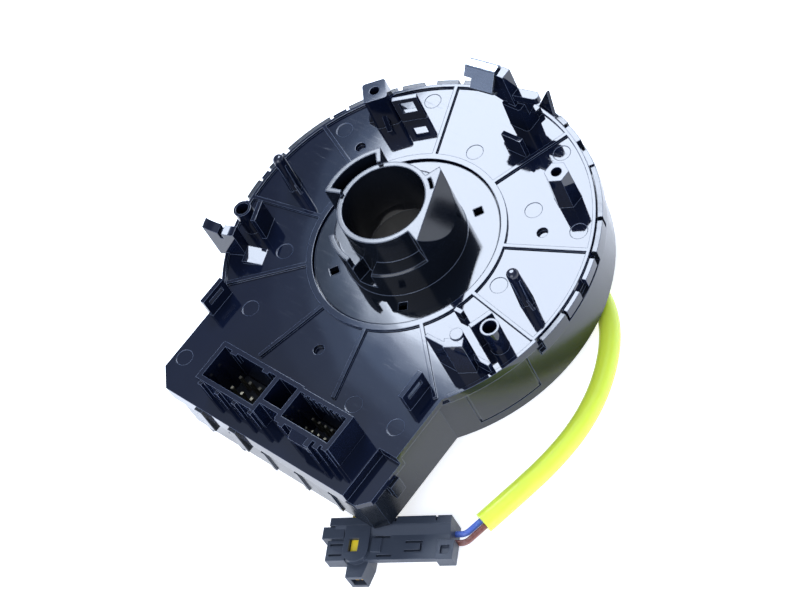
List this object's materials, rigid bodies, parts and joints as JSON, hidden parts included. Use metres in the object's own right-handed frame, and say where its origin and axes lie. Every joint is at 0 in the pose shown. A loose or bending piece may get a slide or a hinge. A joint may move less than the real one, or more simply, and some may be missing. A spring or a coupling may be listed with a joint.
{
  "type": "steering clock spring",
  "caption": "Flat drum with a socketed lobe and a turning centre collar whose wound ribbon cable carries steering wheel circuits; a sleeved airbag lead ends in a small plug.",
  "frame": {"origin": "on the rotor's axis, at the plane of the wheel-side standing ring", "axes": "+Z along the rotor's axis towards the steering column side, -Y towards the lobe with the two harness sockets, +X towards the side where the airbag lead lies"},
  "size_m": [0.1168, 0.1327, 0.0469],
  "materials": {
    "gloss_plastic": "polished black moulding",
    "case_plastic": "fine-grained black moulding",
    "block_plastic": "dark grey moulding",
    "connector_plastic": "charcoal grey moulding with a fine grain",
    "white_film": "slippery translucent film",
    "cable_film": "amber polyester ribbon",
    "tin_plated": "tin-plated terminals",
    "spring_steel": "rolled spring steel, lightly brushed",
    "yellow_sleeve": "soft glossy yellow tubing",
    "yellow_plastic": "bright yellow moulding",
    "blue_insulation": "smooth blue insulation",
    "brown_insulation": "smooth brown insulation",
    "brass_contact": "gold-flashed contact springs"
  },
  "bodies": {
    "stator": {"outer_case": "gloss_plastic", "back_plate": "gloss_plastic", "socket_housing": "gloss_plastic", "flat_cable": "cable_film", "cable_clamp": "block_plastic", "lobe_terminal_block": "block_plastic", "left_socket_pins": "tin_plated", "right_socket_pins": "tin_plated", "spring_clip": "spring_steel"},
    "rotor": {"hub_collar": "gloss_plastic", "rotor_disc": "case_plastic", "lead_cover": "case_plastic", "cable_film": "white_film", "hub_terminal_block": "block_plastic", "wheel_socket_pins": "tin_plated", "snap_ring": "spring_steel", "airbag_sleeve": "yellow_sleeve", "blue_wire": "blue_insulation", "brown_wire": "brown_insulation", "connector_body": "connector_plastic", "connector_cover": "connector_plastic", "squib_contacts": "brass_contact"},
    "lock": {"connector_lock": "yellow_plastic"}
  },
  "joints": [
    {"name": "rotor_spin", "type": "hinge", "parent": "stator", "child": "rotor", "pos_m": [0, 0, 0], "axis": [0, 0, 1], "range_deg": [-900, 900]},
    {"name": "lock_slide", "type": "slide", "parent": "rotor", "child": "lock", "axis": [-0.515, 0.8572, 0], "range_m": [0, 0.0024]}
  ]
}
